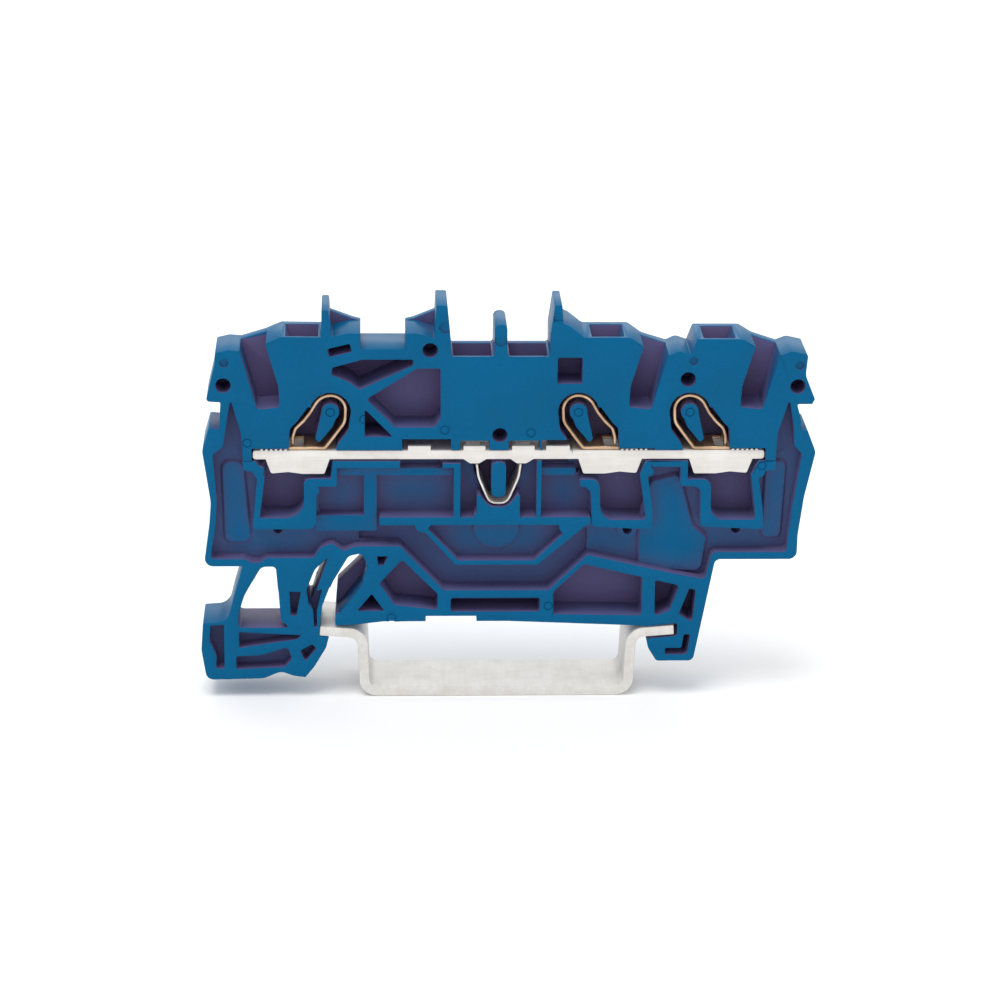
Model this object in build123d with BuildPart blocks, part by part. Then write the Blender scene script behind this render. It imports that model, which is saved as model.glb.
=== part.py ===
from build123d import *
import os

# Feed-through terminal block for three conductors, standing on a short piece of top-hat rail.
# X runs along the block, Y along the rail and Z up. The origin is the middle of the rail, on
# its underside. The open side of the moulding faces -Y. All sizes are millimetres.

# ---- driving dimensions -------------------------------------------------------------------
BLOCK_T = 5.2                # pitch of the block along the rail
FRONT_Y = -BLOCK_T / 2       # plane of the open side
RAIL_W = 35.0                # standard top-hat rail
RAIL_H = 7.5
RAIL_T = 1.0
RAIL_LEN = 6.8               # piece of rail, flush with the open side
RAIL_WEB = 27.0              # outside width of the rail's flat bottom

REAR_WALL = 0.9              # wall that closes the moulding behind its pockets
DEEP = BLOCK_T - REAR_WALL   # spring pockets and bar channel
POCKET = 3.4                 # wire pockets and lightening pockets
FOOT_POCKET = 1.7            # shallow pockets of the foot
BAND = 2.35                  # floor between the stiffening ribs
WEB = 1.7                    # floor of the wide side areas
STEP = 0.9                   # low ribs between the floors and the open face
SWELL = 0.6                  # height of the low swelling above the fixed hook
SIDE_SWELL = 0.4
BOSS = 0.4                   # height of the low round bosses on the floors
SKIN = 0.25                  # marks and set-backs on the open face
MARK_R = 0.45                # witness rings of the ejector pins
MARK_W = 0.1

PIN_R = 0.73                 # holes for the pins of a neighbour or an end plate
SMALL_PIN_R = 0.45
PIN_DEPTH = 3.2

BAR_Z = 24.85                # underside of the current bar
BAR_T = 0.9
BAR_LEFT = -23.8
BAR_RIGHT = 25.7
BAR_FRONT = 0.2              # set-back of the bar's edge behind the open face
BAR_DEPTH = 3.9              # width of the bar, across the block
BAR_PLAY = 0.1
TAB = 0.45                   # height of the bar's small tabs and rims
TAB_DEPTH = 0.6
RIM_DEPTH = 1.2
BAR_TOP = BAR_Z + BAR_T

STRIP_T = 0.3                # clamp spring steel
CLAMP_WIDTH = 3.6
TONGUE_WIDTH = 2.6
LOOP_R = 1.57                # centre line of a clamp spring's loop
LOOP_GAP = 0.25
POST_R = 0.85

JUMPER_T = 0.22              # contact spring steel
JUMPER_WIDTH = 3.2

FOOT_PIVOT = (-19.5, 22.0)   # virtual centre that the flexible foot swings about
FLEX_R = 10.95               # radius of the line where the foot starts to flex
FLEX_GAP = 0.12

# Left clamp's loop centre; the middle clamp and the right clamp are its mirror images.
LEFT_CLAMP = (-16.3, 29.7)
MIDDLE_CLAMP = (7.55, 29.7)
RIGHT_CLAMP = (18.3, 29.7)

OPEN_SIDE = Plane.XZ.offset(-FRONT_Y)
BAR_SIDE = Plane.XZ.offset(-FRONT_Y - BAR_FRONT)

os.makedirs("parts", exist_ok=True)


def outline(*corners, mode=Mode.ADD):
    """Closed face in the sketch at hand; a corner is (x, z) or (x, z, its radius)."""
    with BuildLine(mode=Mode.PRIVATE) as edge:
        FilletPolyline(
            [(corner[0], corner[1]) for corner in corners],
            radius=[corner[2] if len(corner) > 2 else 0 for corner in corners],
            close=True,
        )
    make_face(edge.edges(), mode=mode)


def box(left, right, low, high, radius=0.0, mode=Mode.ADD):
    """Upright rectangle between two x and two z values, with round corners if radius is set."""
    with Locations(((left + right) / 2, (low + high) / 2)):
        if radius:
            RectangleRounded(right - left, high - low, radius, mode=mode)
        else:
            Rectangle(right - left, high - low, mode=mode)


def dots(radius, *places):
    """Round spots in the sketch at hand."""
    with Locations(*places):
        Circle(radius)


def flipped(corners, clamp):
    """Corners drawn for the left clamp, mirrored onto another clamp."""
    shift = clamp[0] + LEFT_CLAMP[0]
    return [(shift - corner[0], *corner[1:]) for corner in corners]


def for_clamp(corners, clamp):
    """Corners drawn for the left clamp, as they lie on the given clamp."""
    return corners if clamp == LEFT_CLAMP else flipped(corners, clamp)


CLAMPS = {"left": LEFT_CLAMP, "middle": MIDDLE_CLAMP, "right": RIGHT_CLAMP}


# ---- silhouette of the one-piece moulding ---------------------------------------------------
def top_edge():
    """Corners of the upper edge, from the left lobe to the right one."""
    left_lobe = [(-27.25, 35.65, 0.25), (-26.0, 35.95, 1.0), (-24.9, 35.85, 1.0)]
    left_block = [(-22.5, 36.6, 1.2), (-21.0, 37.25, 0.3), (-17.12, 37.2)]
    marker_seat = [
        (-17.1, 39.9, 0.15), (-16.4, 39.9, 0.15), (-16.2, 37.2, 0.15), (-14.5, 37.65, 1.0),
        (-13.4, 37.6, 0.15), (-13.4, 36.05), (-9.1, 36.05), (-9.1, 37.6, 0.15),
        (-8.1, 37.65, 1.0), (-6.35, 37.1, 0.1), (-6.2, 40.4, 0.1), (-5.15, 40.4, 0.2),
    ]
    jumper_troughs = [
        (-4.8, 37.0, 1.5), (-4.75, 35.3, 0.25), (-0.62, 35.3, 0.25), (-0.6, 38.4, 0.5),
        (0.6, 38.4, 0.5), (0.62, 35.3, 0.25), (4.72, 35.3, 0.25), (4.7, 37.4, 1.5),
        (5.1, 40.35, 0.15), (5.8, 40.35, 0.15),
    ]
    middle_block = [(5.95, 38.6, 0.1), (6.6, 38.3, 0.6), (8.0, 37.2, 0.5), (12.4, 37.2, 0.7)]
    middle_lobe = [(13.8, 36.2, 0.6), (16.2, 35.45, 0.2), (17.1, 35.9, 0.7), (18.2, 35.5, 0.1)]
    right_block = [(18.75, 37.05, 0.2), (23.2, 37.05, 0.5), (24.5, 36.25, 0.6)]
    right_lobe = [(26.9, 35.45, 0.2), (27.9, 35.85, 0.8), (29.5, 35.5, 0.3)]
    return (left_lobe + left_block + marker_seat + jumper_troughs + middle_block
            + middle_lobe + right_block + right_lobe)


def right_edge():
    """Corners down the right side to the fixed hook."""
    shoulder = [
        (29.35, 33.4, 1.5), (30.35, 31.0, 0.3), (30.1, 30.5, 0.15), (28.65, 30.5, 0.15),
        (29.15, 28.8, 0.8), (29.15, 27.9), (29.8, 27.8, 0.3), (30.67, 25.6, 1.0),
    ]
    flank = [(29.75, 21.0, 6.0), (29.3, 17.0, 4.0), (29.3, 14.47, 0.8), (21.3, 14.47, 0.6)]
    hook = [
        (20.4, 9.2, 6.0), (19.45, 3.69, 0.6), (15.8, 3.69, 0.4), (14.95, 5.1, 1.2),
        (14.75, 6.05, 0.1), (17.8, 6.32, 0.3), (17.8, 7.72, 0.3), (15.1, 7.42, 0.2),
    ]
    return shoulder + flank + hook


def bottom_edge():
    """Corners along the underside, over the rail's top, to the gap beside the foot."""
    return [
        (12.0, 7.55, 2.0), (1.0, 8.0), (-2.05, 8.0), (-2.05, 8.55), (-7.05, 8.55), (-7.05, 8.0),
        (-11.2, 8.0, 0.5), (-14.0, 7.65), (-15.95, 7.6, 0.2), (-15.7, 10.9, 0.4),
        (-12.75, 13.9, 0.6), (-13.3, 15.2, 0.6), (-14.6, 14.9, 0.8),
    ]


def foot_edge():
    """Corners of the flexible foot, from its inner blade round to the outer strut."""
    inner = [
        (-16.1, 12.3, 2.0), (-17.2, 9.7, 2.0), (-17.55, 6.45, 0.15), (-16.55, 6.4, 0.1),
        (-16.85, 5.2, 1.0), (-18.0, 3.2, 1.5), (-18.9, 2.05, 0.25),
    ]
    sole = [(-20.0, 2.2, 0.8), (-21.3, 2.7, 1.2), (-23.0, 1.95, 1.5), (-28.6, 1.83, 0.8)]
    outer = [(-29.1, 5.0, 3.0), (-28.9, 7.85, 0.2), (-26.5, 8.0, 1.4), (-25.85, 10.6, 2.0)]
    return inner + sole + outer


def left_edge():
    """Corners up the left side, back to the left lobe."""
    return [
        (-24.95, 13.85, 0.1), (-28.7, 13.85, 0.8), (-28.1, 18.0, 5.0), (-27.9, 20.5, 4.0),
        (-28.65, 25.8, 1.5), (-28.0, 28.05, 0.2), (-27.0, 27.95, 0.1), (-26.8, 30.7, 0.1),
        (-28.2, 30.8, 0.3), (-27.3, 34.6, 2.0),
    ]


def moulding_silhouette():
    """Outline of the housing and its foot, with the windows between the foot's struts."""
    outline(*top_edge(), *right_edge(), *bottom_edge(), *foot_edge(), *left_edge())
    outline(
        (-25.0, 7.35, 0.5), (-20.3, 7.35, 0.15), (-21.25, 8.1, 0.5), (-21.7, 13.8, 0.4),
        (-23.1, 13.8, 0.8), (-24.8, 10.8, 4.0), (-25.45, 8.6, 2.0), (-25.4, 7.4, 0.3),
        mode=Mode.SUBTRACT,
    )
    outline(
        (-16.6, 14.75, 0.05), (-17.9, 13.5, 1.5), (-18.75, 11.3, 1.5), (-18.5, 9.75, 0.12),
        (-18.2, 9.85, 0.12),
        mode=Mode.SUBTRACT,
    )


def foot_zone(radius):
    """Part of the silhouette that moves with the foot, outside a circle about its pivot."""
    box(-30.0, -15.96, 0.0, 13.8)
    with Locations(FOOT_PIVOT):
        Circle(radius, mode=Mode.SUBTRACT)


# ---- shapes shared by the housing's clamp pockets and the clamps ---------------------------
# Left clamp, as (x, z): the leg that presses on the wire and the leg that rests on the bar.
WIRE_LEG = [(-17.72, 30.36), (-18.2, 29.45, 1.0), (-18.85, 28.6, 1.0), (-19.7, 27.75, 0.8),
            (-19.95, 26.9, 0.6), (-19.95, 26.0)]
REST_LEG = [(-14.73, 29.8), (-14.9, 28.6, 1.5), (-15.95, 27.15, 1.5), (-16.85, 25.95, 0.35),
            (-18.6, 25.95)]
LOOP_MOUTH = [LEFT_CLAMP, (-18.9, 30.95), (-18.9, 27.5), (-14.0, 27.5), (-14.0, 29.7)]
CLAMP_POCKET = [(-18.45, 30.2), (-19.5, 28.75, 1.0), (-20.2, 28.0, 0.6), (-20.35, 25.7),
                (-15.8, 25.7), (-15.6, 26.45, 0.5), (-14.55, 27.85, 1.2), (-14.35, 29.7)]
CLAMP_POST = [(-17.12, 29.7), (-17.75, 27.0, 0.15), (-17.4, 26.6, 0.2), (-16.1, 28.2, 0.8),
              (-15.48, 29.7)]
TOOL_SLOT = [(-20.85, 38.0), (-17.5, 38.0), (-17.0, 31.2), (-18.35, 30.6)]
WIRE_CHANNEL = [(-24.95, 37.5), (-24.9, 35.8), (-23.3, 29.95, 0.45), (-21.15, 30.2, 0.3),
                (-21.25, 32.3, 2.0), (-22.4, 36.3), (-22.4, 37.5)]
WIRE_WINDOW = [(-22.2, BAR_Z - 1), (-22.2, BAR_TOP + 1), (-18.6, BAR_TOP + 1), (-18.6, BAR_Z - 1)]
COLLAR = [(-22.6, BAR_Z + 0.1), (-22.05, 23.4, 0.25), (-20.4, 23.55, 0.5), (-19.0, 23.35, 0.5),
          (-16.9, 23.35, 0.25), (-16.35, BAR_Z + 0.1)]
COLLAR_RELIEF = [(-22.8, 24.9), (-22.2, 23.25), (-16.8, 23.25), (-16.2, 24.9)]


# ---- housing ---------------------------------------------------------------------------------
def web_area():
    """Wide sunk area of the lower half, with the two tall wedges at its sides."""
    outline(
        (-25.85, 31.1, 0.1), (-24.9, 27.6, 0.3), (-24.75, 24.75), (26.8, 24.75), (26.9, 27.6, 0.3),
        (27.9, 31.0, 0.1), (28.4, 28.3, 0.3), (28.55, 26.3, 0.5), (29.35, 25.4, 0.5),
        (28.65, 20.0, 5.0), (28.35, 17.0, 3.0), (28.3, 15.2, 0.4), (20.95, 15.2, 0.6),
        (20.35, 12.35, 0.4), (17.5, 12.9, 3.0), (8.75, 14.95, 0.3), (5.0, 11.25, 0.4),
        (-5.3, 11.25, 0.4), (-9.6, 15.9, 0.4), (-13.9, 15.9, 0.8), (-15.1, 15.4, 0.4),
        (-16.2, 16.2, 0.5), (-17.3, 15.8, 0.6), (-18.0, 14.7, 0.3), (-22.5, 14.7, 0.4),
        (-23.3, 14.2, 0.3), (-24.0, 14.2, 0.3), (-24.8, 14.6, 0.4), (-28.05, 14.6, 0.4),
        (-27.5, 18.0, 4.0), (-27.3, 20.5, 3.0), (-27.65, 25.4, 0.6), (-26.65, 26.2, 0.5),
        (-26.3, 28.2, 0.4),
    )


def band_area():
    """Deeper floors between the stiffening ribs and beside the jumper contact."""
    box(-17.5, -13.1, 18.8, 24.0, 0.3)
    outline((-11.85, 18.9), (-11.85, 24.0), (-4.4, 24.0), (-4.4, 18.9))
    outline((-3.75, 18.9), (-3.75, 24.75), (3.65, 24.75), (3.65, 18.9))
    outline((4.1, 18.9), (4.1, 24.75), (8.9, 24.75), (8.9, 18.9))
    outline(
        (-13.6, 16.1), (-13.6, 17.9), (-7.8, 17.9), (-4.15, 13.95, 0.3), (3.7, 13.95, 0.3),
        (8.0, 17.9, 0.2), (8.75, 17.0), (8.75, 14.95), (5.0, 11.25, 0.4), (-5.3, 11.25, 0.4),
        (-9.6, 15.9, 0.4),
    )


def wire_pocket_floors():
    """Insides of the three pockets that the conductor ends reach."""
    outline((-23.1, 18.9, 0.3), (-22.6, 23.1, 0.3), (-23.2, 24.75), (-16.3, 24.75),
            (-16.3, 22.9), (-18.9, 22.9), (-18.9, 18.9, 0.9))
    outline((9.9, 18.5), (9.0, 22.8), (7.6, 22.8), (7.6, 24.75), (14.1, 24.75),
            (13.75, 23.2), (14.5, 18.5))
    outline((20.6, 18.5), (20.0, 22.8), (18.3, 22.8), (18.3, 24.75), (25.0, 24.75),
            (24.55, 23.2), (25.2, 18.5))


def lower_pockets():
    """Lightening pockets of the underside and the hook."""
    outline((-9.4, 14.5, 0.3), (-11.6, 12.0, 0.3), (-10.1, 9.7, 0.4), (-5.9, 9.2, 0.2),
            (-5.9, 10.9, 0.3))
    box(-4.6, 4.15, 9.0, 10.45, 0.25)
    outline((5.45, 8.7, 0.3), (5.45, 11.05, 0.4), (8.4, 14.0, 0.4), (14.2, 12.6, 0.3),
            (14.2, 8.55, 0.3))
    outline((15.45, 12.3, 0.2), (17.85, 11.7, 0.3), (17.0, 9.1, 0.4), (15.5, 8.4, 0.3))
    outline((18.85, 11.4, 0.15), (19.5, 11.2, 0.15), (19.25, 7.7, 0.3), (17.9, 8.7, 0.2))
    outline((16.65, 4.35, 0.15), (18.85, 4.35, 0.4), (19.1, 6.5, 0.2), (18.45, 6.5, 0.2),
            (18.3, 5.05, 0.3), (16.65, 5.05, 0.15))
    outline((-16.4, 8.8), (-15.55, 8.8, 0.3), (-13.3, 11.8, 0.8), (-12.75, 13.9), (-16.4, 11.4))


def upper_pockets():
    """Lightening pockets between the left clamp and the middle of the block."""
    outline((-12.85, 31.0, 0.3), (-8.0, 34.1, 0.8), (-5.75, 34.1, 0.2), (-5.7, 29.0, 0.5),
            (-6.3, 28.15, 0.4), (-10.1, 28.15, 0.4))
    box(5.45, 7.85, 32.55, 35.2, 0.2)


def dark_pockets():
    """Deepest pockets: curved and triangular ones, tilted slot, reliefs along the bar."""
    outline((-16.1, 34.2, 0.3), (-13.2, 35.0, 0.8), (-8.3, 35.0, 0.25), (-8.4, 34.4, 0.2),
            (-13.5, 31.95, 0.4), (-14.3, 32.6, 0.8), (-15.6, 33.25, 0.6), (-16.2, 33.4, 0.3))
    outline((-13.0, 30.0, 0.1), (-13.0, 27.2, 0.1), (-10.3, 27.2, 0.1))
    outline((-13.8, 9.1, 0.1), (-11.1, 9.1, 0.1), (-12.35, 10.9, 0.1))
    outline((-11.85, 14.85), (-10.75, 14.85), (-11.2, 13.9), (-11.7, 13.9))
    with Locations(Location((-15.39, 35.91, 0), (0, 0, 14))):
        RectangleRounded(2.2, 0.85, 0.15)
    box(BAR_LEFT - BAR_PLAY, BAR_RIGHT + BAR_PLAY, BAR_Z - BAR_PLAY, BAR_TOP + BAR_PLAY)
    for left, right, high in ((-9.4, -4.7, 26.95), (4.1, 7.0, 26.85), (-3.8, -1.0, 26.8),
                              (0.85, 3.9, 26.8)):
        box(left, right, BAR_TOP, high)
    for left, right in ((BAR_LEFT - BAR_PLAY, -20.3), (11.4, 15.0), (22.1, BAR_RIGHT + BAR_PLAY)):
        box(left, right, BAR_TOP, BAR_TOP + 0.25)
    box(-9.5, -5.65, 24.0, BAR_Z)
    box(-3.75, 3.65, 24.25, BAR_Z)
    box(4.3, 6.8, 23.85, BAR_Z)


def wire_pocket_walls():
    """Walls round the three wire pockets, each a bent strip that hangs from the bar."""
    outline(
        (-24.8, 24.7), (-24.7, 23.75, 0.2), (-23.9, 23.7, 0.2), (-23.4, 22.9, 0.4),
        (-23.9, 17.7, 0.5), (-17.7, 17.7, 0.8), (-17.7, 22.1, 0.5), (-15.7, 22.1, 0.2),
        (-15.7, 24.0, 0.1), (-9.6, 24.0), (-9.6, 24.7), (-16.1, 24.7), (-16.3, 22.9, 0.1),
        (-18.9, 22.9, 0.6), (-18.9, 18.85, 1.8), (-23.2, 18.85, 0.2), (-22.65, 23.1, 0.3),
        (-23.5, 24.7),
    )
    outline(
        (7.85, 22.8, 0.2), (7.85, 22.1, 0.2), (8.9, 22.0, 1.0), (9.1, 17.9, 0.5),
        (15.0, 17.6, 0.4), (15.0, 19.5, 1.5), (14.45, 23.1, 0.5), (14.9, 24.7), (14.2, 24.7),
        (13.65, 23.3, 0.4), (14.4, 18.6, 0.4), (9.95, 18.6, 1.3), (9.75, 22.8, 0.9),
    )
    outline(
        (14.8, 24.7), (14.8, 24.1), (17.6, 24.1, 0.1), (17.6, 22.1, 0.3), (19.6, 22.1, 0.8),
        (19.7, 17.9, 0.5), (25.9, 17.6, 0.4), (25.75, 19.8, 1.5), (25.25, 22.8, 0.3),
        (25.9, 23.7, 0.2), (26.8, 23.75, 0.2), (26.85, 24.7), (25.2, 24.7), (24.5, 23.2, 0.4),
        (25.1, 18.6, 0.4), (20.7, 18.6, 1.3), (20.6, 22.8, 0.9), (18.3, 22.8, 0.1),
        (18.3, 24.7),
    )


def stiffening_ribs():
    """Ribs, gussets and round ejector bosses of the lower half."""
    box(-11.6, 8.95, 18.1, 18.9)
    box(-4.4, -3.75, 18.5, 24.45)
    box(-5.5, -3.75, 24.0, 24.45)
    box(3.65, 4.1, 18.5, 24.7)
    outline((-8.0, 18.3), (-7.4, 18.3), (-3.95, 14.4, 0.3), (3.55, 14.4, 0.3), (7.4, 18.3),
            (8.4, 18.9), (8.95, 18.4), (3.85, 13.95, 0.3), (-4.15, 13.95, 0.3))
    outline((-8.2, 18.2), (-6.5, 18.2), (-7.2, 17.3, 0.2), (-7.9, 17.5, 0.2))
    dots(0.85, (6.75, 17.95))
    box(-2.4, 2.1, 18.6, 19.3)
    dots(0.5, (-23.2, 23.7), (14.5, 23.6), (25.3, 23.5), (6.67, 17.9), (-17.9, 21.7))


def side_swellings():
    """Outlines of the low swellings on the floors at the two sides."""
    outline((-27.0, 24.4, 0.9), (-24.6, 24.4, 0.9), (-23.9, 15.7, 0.9), (-26.8, 15.7, 0.9))
    outline((25.9, 24.4, 0.8), (28.2, 24.4, 0.8), (27.9, 16.1, 0.8), (25.7, 16.1, 0.8))


def leg_swelling():
    """Outline of the high swelling above the leg that carries the fixed hook."""
    outline((13.6, 13.2, 0.2), (13.6, 17.9), (14.6, 22.4, 1.0), (17.8, 23.2, 0.8),
            (19.3, 17.6, 1.0), (20.7, 16.6, 1.0), (20.2, 12.6, 1.0), (17.5, 12.7, 1.0))


def jumper_saddle():
    """Block with a hollow top that the bend of the jumper contact rests in."""
    outline((-2.15, 18.8), (-2.15, 21.2, 0.2), (-1.85, 21.2, 0.1), (-1.35, 20.5, 0.4),
            (-0.8, 19.95, 1.0), (0.7, 19.95, 1.0), (1.25, 20.5, 0.4), (1.75, 21.2, 0.1),
            (2.05, 21.2, 0.2), (2.05, 18.8))


with BuildPart() as housing:
    with BuildSketch(OPEN_SIDE):
        moulding_silhouette()
        with BuildSketch(mode=Mode.SUBTRACT):
            foot_zone(FLEX_R - FLEX_GAP)
    extrude(amount=-BLOCK_T)

    # Floors of the sunk areas, shallow ones first.
    with BuildSketch(OPEN_SIDE):
        web_area()
    extrude(amount=-WEB, mode=Mode.SUBTRACT)
    with BuildSketch(OPEN_SIDE):
        band_area()
    extrude(amount=-BAND, mode=Mode.SUBTRACT)
    with BuildSketch(OPEN_SIDE):
        wire_pocket_floors()
        lower_pockets()
        upper_pockets()
    extrude(amount=-POCKET, mode=Mode.SUBTRACT)

    # Walls and ribs stand on the floors and reach the open face.
    with BuildSketch(OPEN_SIDE):
        wire_pocket_walls()
        stiffening_ribs()
        jumper_saddle()
    extrude(amount=-DEEP)
    with BuildSketch(OPEN_SIDE.offset(-STEP)):
        box(-15.8, -4.3, 22.95, 23.7)
        box(4.05, 7.4, 22.95, 23.7)
        box(-13.1, -11.85, 18.0, 23.8)
        box(-17.8, -11.85, 17.2, 18.85, 0.2)
    extrude(amount=-BAND)
    with BuildSketch(OPEN_SIDE.offset(BOSS - WEB)):
        dots(2.25, (-0.17, 17.5))
        dots(1.0, (12.67, 17.3))
    extrude(amount=-BAND)
    with BuildSketch(OPEN_SIDE.offset(-WEB)):
        side_swellings()
    extrude(amount=SIDE_SWELL, taper=30)
    with BuildSketch(OPEN_SIDE.offset(-WEB)):
        leg_swelling()
    extrude(amount=SWELL, taper=25)

    # Clamps: conductor channel, spring pocket and the post inside the spring's loop.
    for clamp in CLAMPS.values():
        with BuildSketch(OPEN_SIDE):
            outline(*for_clamp(WIRE_CHANNEL, clamp))
        extrude(amount=-POCKET - 0.5, mode=Mode.SUBTRACT)
        with BuildSketch(OPEN_SIDE):
            with Locations(clamp):
                Circle(LOOP_R + STRIP_T / 2 + LOOP_GAP)
            outline(*for_clamp(CLAMP_POCKET, clamp))
        extrude(amount=-DEEP, mode=Mode.SUBTRACT)
        with BuildSketch(OPEN_SIDE):
            with Locations(clamp):
                Circle(POST_R)
            outline(*for_clamp(CLAMP_POST, clamp))
        extrude(amount=-DEEP - 0.2)

    # Deepest pockets, the room round the jumper contact and the post inside it.
    with BuildSketch(OPEN_SIDE):
        dark_pockets()
        outline((-2.6, 25.0), (-2.4, 23.0, 1.0), (-1.6, 20.75, 0.8), (-0.7, 20.0, 0.9),
                (0.6, 20.0, 0.9), (1.5, 20.75, 0.8), (2.3, 23.0, 1.0), (2.5, 25.0))
    extrude(amount=-DEEP, mode=Mode.SUBTRACT)
    with BuildSketch(OPEN_SIDE):
        box(-0.75, 0.65, 21.0, 24.6, 0.6)
    extrude(amount=-DEEP - 0.2)

    # Room for the bar's collars under the wire windows.
    with BuildSketch(OPEN_SIDE):
        for clamp in CLAMPS.values():
            outline(*for_clamp(COLLAR_RELIEF, clamp))
    extrude(amount=-DEEP, mode=Mode.SUBTRACT)

    # Pin holes in the open face.
    with BuildSketch(OPEN_SIDE):
        dots(PIN_R, (-26.52, 32.39), (-6.76, 35.92), (0.0, 27.35), (18.03, 33.0), (28.64, 32.28))
        dots(SMALL_PIN_R, (-21.5, 17.1), (12.67, 17.1), (23.4, 17.05))
    extrude(amount=-PIN_DEPTH, mode=Mode.SUBTRACT)

    # Screwdriver slots that slant down to the springs, and upright slots for the jumpers.
    for clamp in CLAMPS.values():
        with BuildSketch(OPEN_SIDE.offset(-0.45)):
            outline(*for_clamp(TOOL_SLOT, clamp))
        extrude(amount=-3.9, mode=Mode.SUBTRACT)
    with BuildSketch(OPEN_SIDE.offset(-0.4)):
        box(-4.55, -0.85, 26.4, 36.0)
        box(0.85, 4.5, 26.4, 36.0)
    extrude(amount=-3.9, mode=Mode.SUBTRACT)

    # Hollows of the marker seat: the fins stand on the rear wall, with a pocket before them.
    with BuildSketch(OPEN_SIDE.offset(REAR_WALL - BLOCK_T)):
        outline((-16.45, 37.0), (-16.45, 38.65), (-14.2, 37.8), (-13.4, 37.6), (-13.4, 37.0))
        outline((-9.1, 37.0), (-9.1, 37.6), (-8.3, 37.8), (-6.1, 38.7), (-6.1, 37.0))
        outline((5.7, 37.0), (5.7, 38.4), (7.9, 37.3), (8.3, 37.0))
    extrude(amount=-REAR_WALL)

    # Small set-backs of the fins' open faces.
    with BuildSketch(OPEN_SIDE):
        outline((5.0, 38.75), (5.6, 38.85, 0.3), (6.1, 38.6), (6.1, 41.0), (5.0, 41.0))
        outline((-0.7, 38.6), (-0.55, 36.3, 0.5), (0.55, 36.3, 0.5), (0.7, 38.6))
        outline((-5.95, 38.1), (-5.75, 38.6, 0.3), (-4.9, 38.95), (-4.9, 37.6), (-5.5, 37.6, 0.3))
        dots(0.42, (-26.4, 34.65), (18.5, 34.85), (28.75, 34.4))
    extrude(amount=-SKIN, mode=Mode.SUBTRACT)

    # Witness rings that the ejector pins leave.
    with BuildSketch(OPEN_SIDE):
        with Locations(*CLAMPS.values(), (-5.3, 27.9), (-24.3, 26.6), (3.0, 27.6), (25.5, 24.2),
                       (-13.1, 29.0), (5.0, 9.6), (-10.4, 8.4), (-14.9, 13.1)):
            Circle(MARK_R)
            Circle(MARK_R - MARK_W, mode=Mode.SUBTRACT)
    extrude(amount=-MARK_W, mode=Mode.SUBTRACT)
housing.part.label = "housing"
export_step(housing.part, "parts/housing.step")


# ---- flexible foot ---------------------------------------------------------------------------
with BuildPart() as release_foot:
    with BuildSketch(OPEN_SIDE):
        moulding_silhouette()
        with BuildSketch(mode=Mode.INTERSECT):
            foot_zone(FLEX_R)
    extrude(amount=-BLOCK_T)
    with BuildSketch(OPEN_SIDE):
        outline((-28.15, 7.6, 0.1), (-26.85, 7.7, 0.1), (-26.85, 3.0, 0.2), (-27.7, 3.0, 0.3),
                (-27.6, 4.3, 0.5), (-28.3, 6.0, 0.8))
        outline((-25.4, 6.9, 0.2), (-19.2, 6.55, 0.1), (-19.7, 6.1, 0.2), (-22.0, 5.75, 1.0),
                (-25.4, 5.2, 0.2))
        outline((-25.7, 4.3, 0.2), (-23.2, 4.45, 1.0), (-20.6, 5.3, 0.4), (-20.2, 4.0, 0.6),
                (-20.9, 3.15, 0.3), (-25.7, 2.95, 0.2))
        outline((-19.4, 4.9, 0.2), (-18.2, 5.6, 0.2), (-17.8, 5.1, 0.2), (-18.9, 3.7, 0.2))
    extrude(amount=-FOOT_POCKET, mode=Mode.SUBTRACT)
    with BuildSketch(OPEN_SIDE):
        outline((-20.5, 13.6), (-20.3, 8.7, 0.2), (-19.75, 8.5, 0.2), (-19.3, 11.0), (-19.1, 13.6))
        outline((-16.9, 14.6), (-17.1, 11.6, 2.0), (-17.75, 9.0, 2.0), (-17.7, 7.4, 0.1),
                (-18.0, 7.4, 0.1), (-18.1, 9.3, 1.0), (-18.6, 9.9), (-17.6, 13.6))
    extrude(amount=-FOOT_POCKET, mode=Mode.SUBTRACT)
release_foot.part.label = "release_foot"
export_step(release_foot.part, "parts/release_foot.step")


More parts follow.
